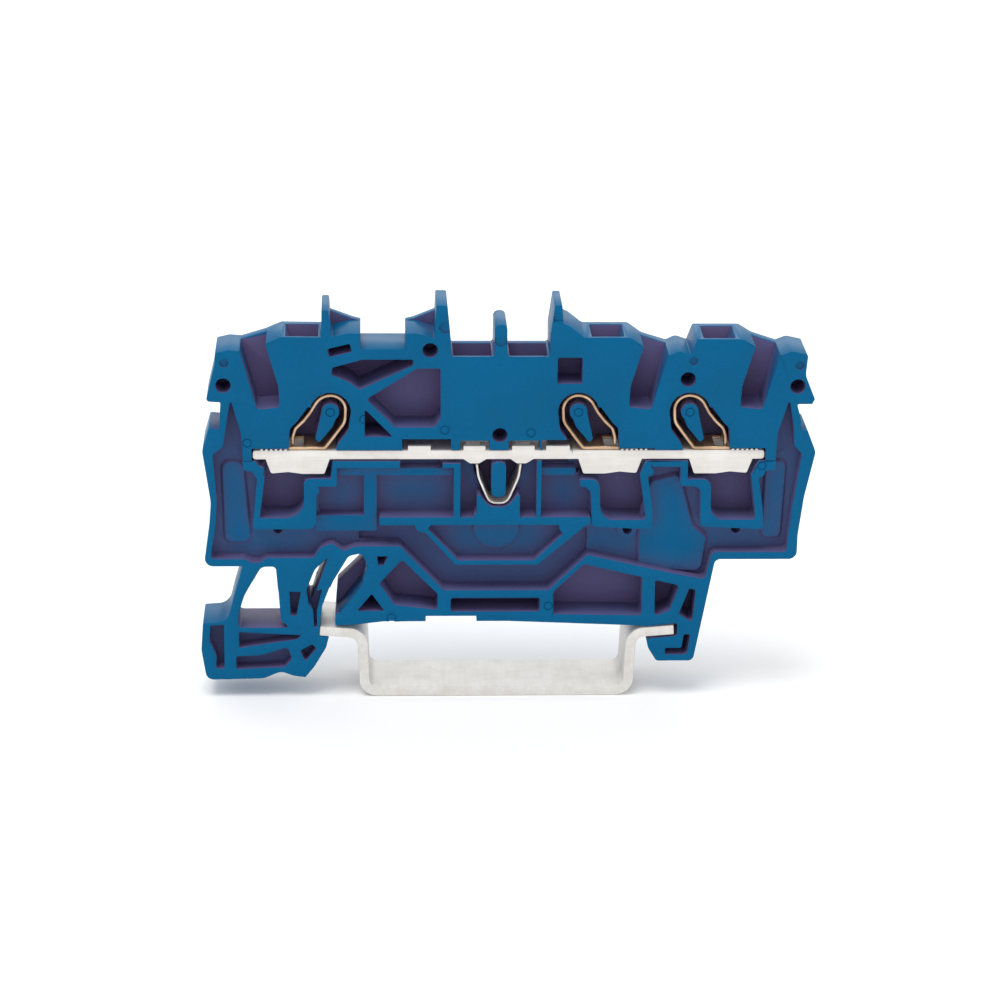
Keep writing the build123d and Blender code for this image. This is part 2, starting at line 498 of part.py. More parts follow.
# ---- current bar -----------------------------------------------------------------------------
with BuildPart() as current_bar:
    with BuildSketch(BAR_SIDE):
        box(BAR_LEFT, BAR_RIGHT, BAR_Z, BAR_TOP, 0.3)
        for x in (-2.35, 2.2):
            outline((x - 1.4, BAR_Z + 0.2), (x - 0.5, 24.4, 0.4), (x + 0.4, 24.4, 0.4),
                    (x + 1.4, BAR_Z + 0.2))
    extrude(amount=-BAR_DEPTH)
    # Tabs bent up at the front edge, and raised rims of the jumper slots.
    with BuildSketch(BAR_SIDE):
        for left, right in ((-8.85, -6.65), (4.5, 6.8)):
            box(left, right, BAR_TOP - 0.1, BAR_TOP + TAB)
    extrude(amount=-TAB_DEPTH)
    with BuildSketch(BAR_SIDE):
        for left, right in ((-3.5, -1.35), (1.2, 3.4)):
            outline((left, BAR_TOP - 0.1), (left, BAR_TOP + TAB, 0.1),
                    (right, BAR_TOP + TAB, 0.1), (right, BAR_TOP - 0.1))
    extrude(amount=-RIM_DEPTH)
    # Windows that the wires pass down through, and slots for the jumper's tines.
    with BuildSketch(BAR_SIDE.offset(-0.5)):
        for clamp in CLAMPS.values():
            outline(*for_clamp(WIRE_WINDOW, clamp))
        for left, right in ((-3.2, -1.75), (1.6, 3.1)):
            box(left, right, 24.0, 27.0)
    extrude(amount=1.0 - BAR_DEPTH, mode=Mode.SUBTRACT)
    # Collars bent down at the front and the back edge of each window.
    for setback in (0.0, BAR_DEPTH - 0.5):
        with BuildSketch(BAR_SIDE.offset(-setback)):
            for clamp in CLAMPS.values():
                outline(*for_clamp(COLLAR, clamp))
        extrude(amount=-0.5)
current_bar.part.label = "current_bar"
export_step(current_bar.part, "parts/current_bar.step")


# ---- clamp springs ---------------------------------------------------------------------------
def strip(corners, thickness):
    """Bent strip of even thickness along a centre line of (x, z) or (x, z, radius) corners."""
    with BuildLine(mode=Mode.PRIVATE) as centre:
        FilletPolyline(
            [(corner[0], corner[1]) for corner in corners],
            radius=[corner[2] if len(corner) > 2 else 0 for corner in corners[1:-1]],
        )
    trace(centre.edges(), line_width=thickness)


for name, clamp in CLAMPS.items():
    # Loop with the leg that rests on the bar.
    with BuildPart() as clamp_spring:
        with BuildSketch(OPEN_SIDE.offset(-0.3)):
            with Locations(clamp):
                Circle(LOOP_R + STRIP_T / 2)
                Circle(LOOP_R - STRIP_T / 2, mode=Mode.SUBTRACT)
            outline(*for_clamp(LOOP_MOUTH, clamp), mode=Mode.SUBTRACT)
            strip(for_clamp(REST_LEG, clamp), STRIP_T)
        extrude(amount=-CLAMP_WIDTH)
    clamp_spring.part.label = f"clamp_spring_{name}"
    export_step(clamp_spring.part, f"parts/clamp_spring_{name}.step")

    # Tongue that presses the wire against the bar.
    with BuildPart() as clamp_tongue:
        with BuildSketch(OPEN_SIDE.offset(-0.8)):
            strip(for_clamp(WIRE_LEG, clamp), STRIP_T)
        extrude(amount=-TONGUE_WIDTH)
    clamp_tongue.part.label = f"clamp_tongue_{name}"
    export_step(clamp_tongue.part, f"parts/clamp_tongue_{name}.step")


# ---- jumper contact --------------------------------------------------------------------------
JUMPER_LEG = [(-1.38, 21.15), (-1.75, 21.95, 2.0), (-2.06, 22.95, 2.0), (-2.17, 24.2)]

with BuildPart() as jumper_spring:
    with BuildSketch(OPEN_SIDE.offset(-0.5)):
        strip([(-1.32, 21.02), (-0.95, 20.3, 0.7), (-0.05, 20.2, 3.0), (0.85, 20.3, 0.7),
               (1.22, 21.02)], JUMPER_T)
    extrude(amount=-JUMPER_WIDTH)
jumper_spring.part.label = "jumper_spring"
export_step(jumper_spring.part, "parts/jumper_spring.step")

for name, side in (("left", 1), ("right", -1)):
    with BuildPart() as jumper_leg:
        with BuildSketch(OPEN_SIDE.offset(-0.5)):
            strip([(side * (x + 0.05) - 0.05, z, *r) for x, z, *r in JUMPER_LEG], JUMPER_T)
        extrude(amount=-JUMPER_WIDTH)
    jumper_leg.part.label = f"jumper_leg_{name}"
    export_step(jumper_leg.part, f"parts/jumper_leg_{name}.step")


# ---- rail ------------------------------------------------------------------------------------
with BuildPart() as rail_section:
    with BuildSketch(OPEN_SIDE):
        with BuildLine():
            half = [(0, 0), (RAIL_WEB / 2, 0, 1.8), (RAIL_WEB / 2 + 0.25, RAIL_H - 1.3, 0.9),
                    (RAIL_W / 2, RAIL_H - RAIL_T)]
            under = [(-x, *rest) for x, *rest in reversed(half[1:])] + half[1:]
            FilletPolyline([(c[0], c[1]) for c in under],
                           radius=[c[2] for c in under[1:-1]])
            offset(amount=RAIL_T, side=Side.LEFT)
        make_face()
    extrude(amount=-RAIL_LEN)
rail_section.part.label = "rail_section"
export_step(rail_section.part, "parts/rail_section.step")
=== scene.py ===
"""Three-conductor feed-through terminal block, open on one side, on a short top-hat rail.

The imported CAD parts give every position. This script rounds the moulded edges, winds the
clamp springs and the jumper contact from strip, and gives every piece its finish.
"""

import logging
import math
from dataclasses import dataclass, field
from enum import Enum
from typing import Callable, Sequence

import bmesh
import bpy
from mathutils import Matrix, Vector
from mathutils.bvhtree import BVHTree


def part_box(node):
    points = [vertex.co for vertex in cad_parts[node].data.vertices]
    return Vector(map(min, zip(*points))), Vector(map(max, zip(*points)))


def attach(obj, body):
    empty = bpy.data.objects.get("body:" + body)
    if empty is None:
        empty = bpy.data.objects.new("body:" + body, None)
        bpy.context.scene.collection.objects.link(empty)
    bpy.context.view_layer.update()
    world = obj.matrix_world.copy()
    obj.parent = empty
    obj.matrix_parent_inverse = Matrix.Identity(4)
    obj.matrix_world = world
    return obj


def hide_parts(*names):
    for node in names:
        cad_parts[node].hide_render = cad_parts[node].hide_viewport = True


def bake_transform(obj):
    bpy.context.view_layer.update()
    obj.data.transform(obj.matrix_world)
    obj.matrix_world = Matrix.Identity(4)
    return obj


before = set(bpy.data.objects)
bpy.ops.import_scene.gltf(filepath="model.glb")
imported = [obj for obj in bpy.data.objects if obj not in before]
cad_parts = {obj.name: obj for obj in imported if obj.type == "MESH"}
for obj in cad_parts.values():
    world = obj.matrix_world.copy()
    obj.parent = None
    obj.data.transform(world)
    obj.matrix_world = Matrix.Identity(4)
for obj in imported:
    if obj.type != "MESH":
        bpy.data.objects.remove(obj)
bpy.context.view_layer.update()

logging.basicConfig(level=logging.INFO, format="%(message)s")
log = logging.getLogger("terminal_block")

MM = 0.001
MERGE = 0.002                # distance within which a CAD copy's points are one, in mm
STRIP_MERGE = 0.001          # the same for a piece made by a geometry tree, in mm
CREASE = 33.0                # angle of a moulded or cut edge that still shades softly, in degrees
STRIP_CREASE = 50.0          # the same for bent strip, in degrees
# Painted shade: the higher a face's value of this attribute, the darker and more violet the moulding
# paints it.
RECESS_SHADE = "recess"            # face attribute: how deep in a recess a face lies, 0 to 1
Colour = tuple[float, float, float, float]
Corner = tuple[float, ...]   # x, z and, where the corner is rounded, its radius, in mm


def mm(x: float, y: float, z: float) -> Vector:
    """Point given in millimetres, in metres."""
    return Vector((x, y, z)) * MM


def tint(red: int, green: int, blue: int) -> Colour:
    """Linear colour of a display colour.

    Args:
        red: Red from 0 to 255.
        green: Green from 0 to 255.
        blue: Blue from 0 to 255.

    Returns:
        The colour as linear red, green and blue with full alpha.
    """
    def linear(value: int) -> float:
        """One channel, made linear."""
        share = value / 255
        return share / 12.92 if share <= 0.04045 else ((share + 0.055) / 1.055) ** 2.4

    return (linear(red), linear(green), linear(blue), 1.0)


class Body(Enum):
    """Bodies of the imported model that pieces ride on."""

    RAIL = "rail"
    TERMINAL = "terminal"
    FOOT = "foot"


class Hand(Enum):
    """Which way a clamp's wire leg leans from its loop, as the sign of x."""

    LEFT = -1
    RIGHT = 1


# ---- nodes --------------------------------------------------------------------------------------
class Graph:
    """Short way to add and join the nodes of one tree."""

    def __init__(self, tree: bpy.types.NodeTree) -> None:
        """Starts on an empty tree.

        Args:
            tree: Shader or geometry tree.
        """
        self.tree = tree
        tree.nodes.clear()

    def add(self, kind: str, inputs: dict | None = None, **settings: object) -> bpy.types.Node:
        """Adds a node.

        Args:
            kind: Node type, such as ShaderNodeMath.
            inputs: Socket name or number to a value, a node or an output socket.
            settings: The node's own properties.

        Returns:
            The new node.
        """
        node = self.tree.nodes.new(kind)
        for name, value in settings.items():
            setattr(node, name, value)
        for key, value in (inputs or {}).items():
            if isinstance(value, bpy.types.Node):
                self.tree.links.new(value.outputs[0], node.inputs[key])
            elif isinstance(value, bpy.types.NodeSocket):
                self.tree.links.new(value, node.inputs[key])
            else:
                node.inputs[key].default_value = value
        return node

    def math(self, operation: str, first: object, second: object = 0.0) -> bpy.types.Node:
        """Adds a Math node of a shader tree.

        Args:
            operation: What the node works out, such as MULTIPLY.
            first: Value, node or socket.
            second: Value, node or socket.

        Returns:
            The new node.
        """
        return self.add("ShaderNodeMath", {0: first, 1: second}, operation=operation)

    def ramp(self, factor: object, stops: Sequence[tuple[float, Colour]]) -> bpy.types.Node:
        """Adds a colour ramp.

        Args:
            factor: Node or socket that drives it.
            stops: Positions from 0 to 1, each with its colour.

        Returns:
            The new node.
        """
        node = self.add("ShaderNodeValToRGB", {0: factor})
        elements = node.color_ramp.elements
        while len(elements) < len(stops):
            elements.new(0.5)
        for element, (position, colour) in zip(elements, stops):
            element.position = position
            element.color = colour
        return node

    def mix(self, factor: object, first: object, second: object,
            blend: str = "MIX") -> bpy.types.NodeSocket:
        """Mixes two colours.

        Args:
            factor: Share of the second colour.
            first: First colour.
            second: Second colour.
            blend: Blend type.

        Returns:
            The colour socket of the result.
        """
        node = self.add("ShaderNodeMix", {0: factor, 6: first, 7: second}, data_type="RGBA",
                        blend_type=blend)
        return node.outputs[2]

    def noise(self, scale: float, detail: float, stretch: Vector | None = None) -> bpy.types.Node:
        """Adds noise on Object coordinates.

        Args:
            scale: Features per metre.
            detail: Number of finer layers.
            stretch: Share of the scale along each axis, for brushed or drawn marks.

        Returns:
            The noise node; its first output is the value.
        """
        place = self.add("ShaderNodeTexCoord").outputs["Object"]
        if stretch is not None:
            place = self.add("ShaderNodeMapping", {"Vector": place, "Scale": stretch}).outputs[0]
        return self.add("ShaderNodeTexNoise",
                        {"Vector": place, "Scale": scale, "Detail": detail, "Roughness": 0.55})


def new_material(name: str) -> tuple[bpy.types.Material, Graph, bpy.types.Node]:
    """Starts a material.

    Args:
        name: Name of the material.

    Returns:
        The material, its graph and its Principled shader.
    """
    material = bpy.data.materials.new(name)
    material.use_nodes = True
    graph = Graph(material.node_tree)
    shader = graph.add("ShaderNodeBsdfPrincipled")
    graph.add("ShaderNodeOutputMaterial", {"Surface": shader})
    return material, graph, shader


# ---- finishes -----------------------------------------------------------------------------------
@dataclass(frozen=True)
class MouldedPolyamide:
    """Blue injection-moulded polyamide, with painted shade that makes it darker and more violet in
    its recesses and inside corners.

    Attributes:
        face: Colour of the open faces and the outside.
        floor: Painted shade of the shallow floors, a little darker than the faces.
        band_shade: Painted shade of the floors between the ribs.
        pocket_shade: Painted shade of the floors deep in pockets and of walls.
        hollow_shade: Painted shade at the bottom of the deepest hollows.
        corner: Painted shade in inside corners, near walls.
        reach: How far from a wall the painted corner shade reaches, in mm.
        cloud: Scale of the broad shading, in features per metre.
        speck: Scale of the fine specks, in features per metre.
        gloss: Scale of the uneven gloss, in features per metre.
        grain: Scale of the surface grain, in features per metre.
    """

    face: Colour = tint(0, 92, 136)
    floor: Colour = tint(6, 86, 132)
    band_shade: Colour = tint(50, 86, 131)
    pocket_shade: Colour = tint(96, 92, 136)
    hollow_shade: Colour = tint(98, 90, 130)
    corner: Colour = tint(96, 84, 124)
    reach: float = 2.4
    cloud: float = 140.0
    speck: float = 5200.0
    gloss: float = 420.0
    grain: float = 3800.0

    def material(self) -> bpy.types.Material:
        """Builds the material."""
        material, graph, shader = new_material("moulded_polyamide")
        recess = graph.add("ShaderNodeAttribute", attribute_name=RECESS_SHADE).outputs["Fac"]
        # Painted shade: the deeper and more sheltered a face lies in a recess, the darker and more
        # violet this ramp paints it.
        shade_by_depth = graph.ramp(recess, [
            (0.0, self.face), (0.37, self.floor), (0.47, self.band_shade), (0.64, self.pocket_shade),
            (0.84, self.hollow_shade)])
        # Painted shade in inside corners: near walls, ambient occlusion mixes in the corner colour.
        open_sky = graph.add("ShaderNodeAmbientOcclusion", {"Distance": self.reach * MM},
                             samples=6, only_local=True)
        closed = graph.add("ShaderNodeMapRange", {
            "Value": open_sky.outputs["AO"], "From Min": 0.92, "From Max": 0.45,
            "To Min": 0.0, "To Max": 0.7})
        inner = graph.add("ShaderNodeMapRange", {"Value": recess, "From Max": 0.25})
        corner_shaded = graph.mix(graph.math("MULTIPLY", closed, inner), shade_by_depth, self.corner)
        cloud = graph.ramp(graph.noise(self.cloud, 2.0), [
            (0.3, (0.95, 0.95, 0.95, 1.0)), (0.7, (1.04, 1.04, 1.04, 1.0))])
        clouded = graph.mix(1.0, corner_shaded, cloud, "MULTIPLY")
        speck = graph.ramp(graph.noise(self.speck, 3.0), [
            (0.35, (0.95, 0.95, 0.96, 1.0)), (0.65, (1.03, 1.03, 1.03, 1.0))])
        graph.tree.links.new(graph.mix(1.0, clouded, speck, "MULTIPLY"),
                             shader.inputs["Base Color"])
        sheen = graph.add("ShaderNodeMapRange", {
            "Value": graph.noise(self.gloss, 4.0), "To Min": 0.30, "To Max": 0.44})
        graph.tree.links.new(sheen.outputs[0], shader.inputs["Roughness"])
        grain = graph.add("ShaderNodeBump", {
            "Height": graph.noise(self.grain, 3.0), "Strength": 0.10, "Distance": 0.00004})
        graph.tree.links.new(grain.outputs[0], shader.inputs["Normal"])
        shader.inputs["IOR"].default_value = 1.5
        shader.inputs["Specular IOR Level"].default_value = 0.08
        return material


@dataclass(frozen=True)
class MetalFinish:
    """Plated or bare metal with fine drawn marks and a little staining.

    Attributes:
        name: Name of the material.
        bright: Colour where the metal is clean.
        dull: Colour of its stains.
        metallic: How far it reflects as metal.
        smooth: Lowest roughness.
        rough: Highest roughness.
        stretch: Stretch of the drawn marks along x, y and z.
        relief: Strength of the marks in the surface.
        stains: Scale of the stains, in features per metre.
        marks: Scale of the drawn marks, in features per metre.
    """

    name: str
    bright: Colour
    dull: Colour
    metallic: float
    smooth: float
    rough: float
    stretch: Vector
    relief: float = 0.15
    stains: float = 620.0
    marks: float = 2600.0

    def material(self) -> bpy.types.Material:
        """Builds the material."""
        material, graph, shader = new_material(self.name)
        stain = graph.ramp(graph.noise(self.stains, 5.0), [(0.34, self.dull), (0.62, self.bright)])
        marks = graph.noise(self.marks, 4.0, self.stretch)
        streak = graph.ramp(marks, [
            (0.3, (0.90, 0.90, 0.90, 1.0)), (0.7, (1.0, 1.0, 1.0, 1.0))])
        graph.tree.links.new(graph.mix(1.0, stain.outputs[0], streak, "MULTIPLY"),
                             shader.inputs["Base Color"])
        gloss = graph.add("ShaderNodeMapRange", {
            "Value": marks, "To Min": self.smooth, "To Max": self.rough})
        graph.tree.links.new(gloss.outputs[0], shader.inputs["Roughness"])
        bump = graph.add("ShaderNodeBump", {
            "Height": marks, "Strength": self.relief, "Distance": 0.00003})
        graph.tree.links.new(bump.outputs[0], shader.inputs["Normal"])
        shader.inputs["Metallic"].default_value = self.metallic
        return material


TINNED_COPPER = MetalFinish(
    "tinned_copper", tint(236, 233, 229), tint(228, 224, 218), 0.30, 0.34, 0.50,
    Vector((0.12, 1.0, 1.0)), 0.10)
SPRING_STEEL = MetalFinish(
    "spring_steel", tint(222, 190, 156), tint(184, 150, 118), 0.80, 0.24, 0.40,
    Vector((1.0, 0.15, 1.0)))
JUMPER_STEEL = MetalFinish(
    "contact_steel", tint(250, 247, 240), tint(232, 224, 210), 0.55, 0.24, 0.38,
    Vector((1.0, 0.15, 1.0)))
ZINCED_STEEL = MetalFinish(
    "zinced_steel", tint(230, 227, 222), tint(220, 216, 210), 0.35, 0.40, 0.56,
    Vector((1.0, 0.10, 1.0)), 0.25)


@dataclass(frozen=True)
class StudioWhite:
    """Plain pale paper of the studio floor."""

    colour: Colour = (0.93, 0.93, 0.93, 1.0)

    def material(self) -> bpy.types.Material:
        """Builds the material."""
        material, graph, shader = new_material("studio_white")
        grain = graph.ramp(graph.noise(60.0, 2.0), [
            (0.0, self.colour), (1.0, (0.95, 0.95, 0.95, 1.0))])
        graph.tree.links.new(grain.outputs[0], shader.inputs["Base Color"])
        shader.inputs["Roughness"].default_value = 0.9
        shader.inputs["Specular IOR Level"].default_value = 0.1
        return material


# ---- meshes -------------------------------------------------------------------------------------
def finished(mesh: bpy.types.Mesh, name: str, material: bpy.types.Material) -> bpy.types.Object:
    """Puts a finished mesh in the scene at the origin.

    Args:
        mesh: Mesh in the shared frame.
        name: Name of the piece.
        material: Its material.

    Returns:
        The new object.
    """
    mesh.name = name
    mesh.materials.clear()
    mesh.materials.append(material)
    piece = bpy.data.objects.new(name, mesh)
    bpy.context.scene.collection.objects.link(piece)
    return piece


@dataclass
class RoundedCopy:
    """Copy of a CAD node whose outer edges are rounded over.

    Attributes:
        node: Name of the CAD node.
        edge: Width of the rounding, in mm.
        sharp: Smallest angle of an edge that is rounded, in degrees.
        keep: Says of a point, in mm, that edges between such points stay sharp.
        move: Moves a point, in mm, before the edges are rounded.
    """

    node: str
    edge: float
    sharp: float = 38.0
    keep: Callable[[Vector], bool] | None = None
    move: Callable[[Vector], Vector] | None = None

    def mesh(self) -> bpy.types.Mesh:
        """Merges the node's triangles and rounds its edges.

        Returns:
            The new mesh.
        """
        work = bmesh.new()
        work.from_mesh(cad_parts[self.node].data)
        bmesh.ops.remove_doubles(work, verts=work.verts, dist=MERGE * MM)
        if self.move is not None:
            for vertex in work.verts:
                vertex.co = self.move(vertex.co / MM) * MM
        rims = [edge for edge in work.edges if self.rounds(edge)]
        bmesh.ops.bevel(work, geom=rims, offset=self.edge * MM, offset_type="OFFSET",
                        segments=2, profile=0.5, affect="EDGES", clamp_overlap=False)
        bmesh.ops.triangulate(work, faces=[f for f in work.faces if len(f.verts) > 4])
        for face in work.faces:
            face.smooth = True
        for edge in work.edges:
            wide = len(edge.link_faces) != 2 or edge.calc_face_angle(0) > math.radians(CREASE)
            edge.smooth = not wide
        mesh = bpy.data.meshes.new(self.node)
        work.to_mesh(mesh)
        work.free()
        return mesh

    def rounds(self, edge: bmesh.types.BMEdge) -> bool:
        """Says whether an edge is rounded over.

        Args:
            edge: Edge of the merged copy.

        Returns:
            True for an outer edge that is sharp and not kept.
        """
        if len(edge.link_faces) != 2 or not edge.is_convex:
            return False
        if edge.calc_face_angle(0) < math.radians(self.sharp):
            return False
        return self.keep is None or not all(self.keep(v.co / MM) for v in edge.verts)


def paint_recess_shade(mesh: bpy.types.Mesh, depth: float, rays: int = 16) -> None:
    """Writes on each face how sheltered and deep in a recess it lies, as a mask of painted shade.

    Args:
        mesh: Moulding in the shared frame, open towards -Y.
        depth: Depth of the block in metres.
        rays: Directions looked in, all across the depth of the block.
    """
    work = bmesh.new()
    work.from_mesh(mesh)
    tree = BVHTree.FromBMesh(work)
    front = min(vertex.co.y for vertex in work.verts)
    fan = [Vector((math.cos(turn), 0.0, math.sin(turn)))
           for turn in (2 * math.pi * (k + 0.37) / rays for k in range(rays))]
    # Walls in a recess get at least this much painted shade.
    wall_shade = 0.6          # least mark of a wall in a recess
    lift = 0.02 * MM         # how far off its face a ray starts
    open_share = 0.5         # share of rays that meet a wall where shelter begins
    full_share = 0.3         # further share that makes it full
    painted_shades = []
    for face in work.faces:
        normal = face.normal
        start = face.calc_center_median() + normal * lift
        floor = normal.y < -0.5
        seen = fan if floor else [d for d in fan if d.dot(normal) > 0.25]
        sunk = (start.y - front) / depth
        if normal.y > 0.5 or not seen or sunk < 0.02:
            painted_shades.append(0.0)
            continue
        hits = sum(tree.ray_cast(start, d)[0] is not None for d in seen) / len(seen)
        sheltered = min(1.0, max(0.0, (hits - open_share) / full_share))
        painted_shades.append(sheltered * (sunk if floor else max(wall_shade, sunk)))
    work.free()
    attribute = mesh.attributes.new(RECESS_SHADE, "FLOAT", "FACE")
    attribute.data.foreach_set("value", painted_shades)


# ---- strip, bent by Geometry Nodes ----------------------------------------------------------------
@dataclass
class BentStrip:
    """Spring strip bent along a path across the block.

    Attributes:
        name: Name of the piece.
        corners: Path of its centre line, as x, z and corner radius in mm.
        thickness: Thickness of the strip in mm.
        width: Width across the block in mm.
        middle: Y of the middle of its width, in mm.
        tip: Width at the narrow end, as a share of the width.
        shoulder: Share of the path where it starts to narrow.
    """

    name: str
    corners: Sequence[Corner]
    thickness: float
    width: float
    middle: float
    tip: float = 1.0
    shoulder: float = 0.0

    def path(self) -> bpy.types.Object:
        """Lays the path out as a curve of straight runs.

        Returns:
            The curve object; each point's radius is its corner radius.
        """
        curve = bpy.data.curves.new(self.name, "CURVE")
        curve.dimensions = "3D"
        spline = curve.splines.new("POLY")
        spline.points.add(len(self.corners) - 1)
        for point, corner in zip(spline.points, self.corners):
            point.co = (*mm(corner[0], self.middle, corner[1]), 1.0)
            point.radius = (corner[2] if len(corner) > 2 else 0.0) * MM
        carrier = bpy.data.objects.new(self.name, curve)
        bpy.context.scene.collection.objects.link(carrier)
        return carrier

    def piece(self, material: bpy.types.Material) -> bpy.types.Object:
        """Bends the strip and turns it into a plain mesh.

        Args:
            material: Finish of the strip.

        Returns:
            The finished piece.
        """
        mesh = grown(self.path(), strip_tree(), {
            "Thickness": self.thickness * MM, "Width": self.width * MM,
            "Tip": self.tip, "Shoulder": self.shoulder, "Material": material})
        return finished(mesh, self.name, material)


def grown(carrier: bpy.types.Object, tree: bpy.types.NodeTree,
          inputs: dict[str, object]) -> bpy.types.Mesh:
    """Runs a geometry tree on a carrier and keeps its result as a plain mesh.

    Args:
        carrier: Object that the tree starts from; it is removed.
        tree: Geometry tree.
        inputs: Value of each named input.

    Returns:
        The closed mesh, with its faces turned outwards.
    """
    modifier = carrier.modifiers.new("grow", "NODES")
    modifier.node_group = tree
    for item in tree.interface.items_tree:
        if item.item_type == "SOCKET" and item.in_out == "INPUT" and item.name in inputs:
            modifier[item.identifier] = inputs[item.name]
    bpy.context.view_layer.update()
    made = carrier.evaluated_get(bpy.context.evaluated_depsgraph_get())
    mesh = bpy.data.meshes.new_from_object(made)
    carrier.modifiers.remove(modifier)
    bpy.data.objects.remove(carrier)
    outward(mesh)
    return mesh


def outward(mesh: bpy.types.Mesh) -> None:
    """Merges a mesh's doubles and turns its faces outwards."""
    work = bmesh.new()
    work.from_mesh(mesh)
    bmesh.ops.remove_doubles(work, verts=work.verts, dist=STRIP_MERGE * MM)
    bmesh.ops.recalc_face_normals(work, faces=work.faces)
    for face in work.faces:
        face.smooth = True
    for edge in work.edges:
        wide = len(edge.link_faces) != 2 or edge.calc_face_angle(0) > math.radians(STRIP_CREASE)
        edge.smooth = not wide
    work.to_mesh(mesh)
    work.free()


def strip_tree() -> bpy.types.NodeTree:
    """Builds, once, the tree that rounds a path's corners and sweeps the strip along it.

    Returns:
        The geometry tree, with the inputs Thickness, Width, Tip, Shoulder and Material.
    """
    name = "bent_strip"
    if name in bpy.data.node_groups:
        return bpy.data.node_groups[name]
    tree = bpy.data.node_groups.new(name, "GeometryNodeTree")
    graph = Graph(tree)
    tree.interface.new_socket("Geometry", in_out="INPUT", socket_type="NodeSocketGeometry")
    for label in ("Thickness", "Width", "Tip", "Shoulder"):
        tree.interface.new_socket(label, in_out="INPUT", socket_type="NodeSocketFloat")
    tree.interface.new_socket("Material", in_out="INPUT", socket_type="NodeSocketMaterial")
    tree.interface.new_socket("Geometry", in_out="OUTPUT", socket_type="NodeSocketGeometry")
    given = graph.add("NodeGroupInput")
    bent = graph.add("GeometryNodeFilletCurve", {
        "Curve": given.outputs["Geometry"], "Count": 9, "Limit Radius": True,
        "Radius": graph.add("GeometryNodeInputRadius")}, mode="POLY")
    even = graph.add("GeometryNodeSetCurveRadius", {"Curve": bent, "Radius": 1.0})
    turned = graph.add("GeometryNodeSetCurveNormal", {"Curve": even, "Normal": (0.0, 1.0, 0.0)},
                       mode="FREE")
    along = graph.add("GeometryNodeCaptureAttribute", {"Geometry": turned})
    along.capture_items.new("FLOAT", "Along")
    tree.links.new(graph.add("GeometryNodeSplineParameter").outputs["Factor"],
                   along.inputs["Along"])
    section = graph.add("GeometryNodeCurvePrimitiveQuadrilateral", {
        "Width": given.outputs["Width"], "Height": given.outputs["Thickness"]})
    edge = graph.math("MULTIPLY", given.outputs["Thickness"], 0.3)
    rounded = graph.add("GeometryNodeFilletCurve", {"Curve": section, "Count": 2,
                                                    "Radius": edge}, mode="POLY")
    swept = graph.add("GeometryNodeCurveToMesh", {
        "Curve": along.outputs["Geometry"], "Profile Curve": rounded, "Fill Caps": True})
    share = graph.add("ShaderNodeMapRange", {
        "Value": along.outputs["Along"], "From Min": given.outputs["Shoulder"], "To Min": 1.0,
        "To Max": given.outputs["Tip"]})
    reach = graph.math("ADD", given.outputs["Shoulder"], 0.08)
    tree.links.new(reach.outputs[0], share.inputs["From Max"])
    place = graph.add("GeometryNodeInputPosition")
    parts = graph.add("ShaderNodeSeparateXYZ", {0: place})
    middle = graph.add("GeometryNodeAttributeStatistic", {"Geometry": swept,
                                                          "Attribute": parts.outputs["Y"]})
    off = graph.math("SUBTRACT", parts.outputs["Y"], middle.outputs["Median"])
    narrowed = graph.math("MULTIPLY_ADD", off, share)
    tree.links.new(middle.outputs["Median"], narrowed.inputs[2])
    where = graph.add("ShaderNodeCombineXYZ", {
        0: parts.outputs["X"], 1: narrowed, 2: parts.outputs["Z"]})
    shaped = graph.add("GeometryNodeSetPosition", {"Geometry": swept, "Position": where})
    real = graph.add("GeometryNodeRealizeInstances", {"Geometry": shaped})
    dressed = graph.add("GeometryNodeSetMaterial", {
        "Geometry": real, "Material": given.outputs["Material"]})
    graph.add("NodeGroupOutput", {"Geometry": dressed})
    return tree


def ridge_tree() -> bpy.types.NodeTree:
    """Builds, once, the tree that sets round ridges side by side.

    Returns:
        The geometry tree, with the inputs Start, Step, Count, Radius, Length and Material.
    """
    name = "ridges"
    if name in bpy.data.node_groups:
        return bpy.data.node_groups[name]
    tree = bpy.data.node_groups.new(name, "GeometryNodeTree")
    graph = Graph(tree)
    tree.interface.new_socket("Geometry", in_out="INPUT", socket_type="NodeSocketGeometry")
    for label in ("Start", "Step"):
        tree.interface.new_socket(label, in_out="INPUT", socket_type="NodeSocketVector")
    tree.interface.new_socket("Count", in_out="INPUT", socket_type="NodeSocketInt")
    for label in ("Radius", "Length"):
        tree.interface.new_socket(label, in_out="INPUT", socket_type="NodeSocketFloat")
    tree.interface.new_socket("Material", in_out="INPUT", socket_type="NodeSocketMaterial")
    tree.interface.new_socket("Geometry", in_out="OUTPUT", socket_type="NodeSocketGeometry")
    given = graph.add("NodeGroupInput")
    row = graph.add("GeometryNodeMeshLine", {
        "Count": given.outputs["Count"], "Start Location": given.outputs["Start"],
        "Offset": given.outputs["Step"]})
    ridge = graph.add("GeometryNodeMeshCylinder", {
        "Vertices": 20, "Radius": given.outputs["Radius"], "Depth": given.outputs["Length"]})
    placed = graph.add("GeometryNodeInstanceOnPoints", {
        "Points": row, "Instance": ridge, "Rotation": (math.pi / 2, 0.0, 0.0)})
    real = graph.add("GeometryNodeRealizeInstances", {"Geometry": placed})
    dressed = graph.add("GeometryNodeSetMaterial", {
        "Geometry": real, "Material": given.outputs["Material"]})
    graph.add("NodeGroupOutput", {"Geometry": dressed})
    return tree


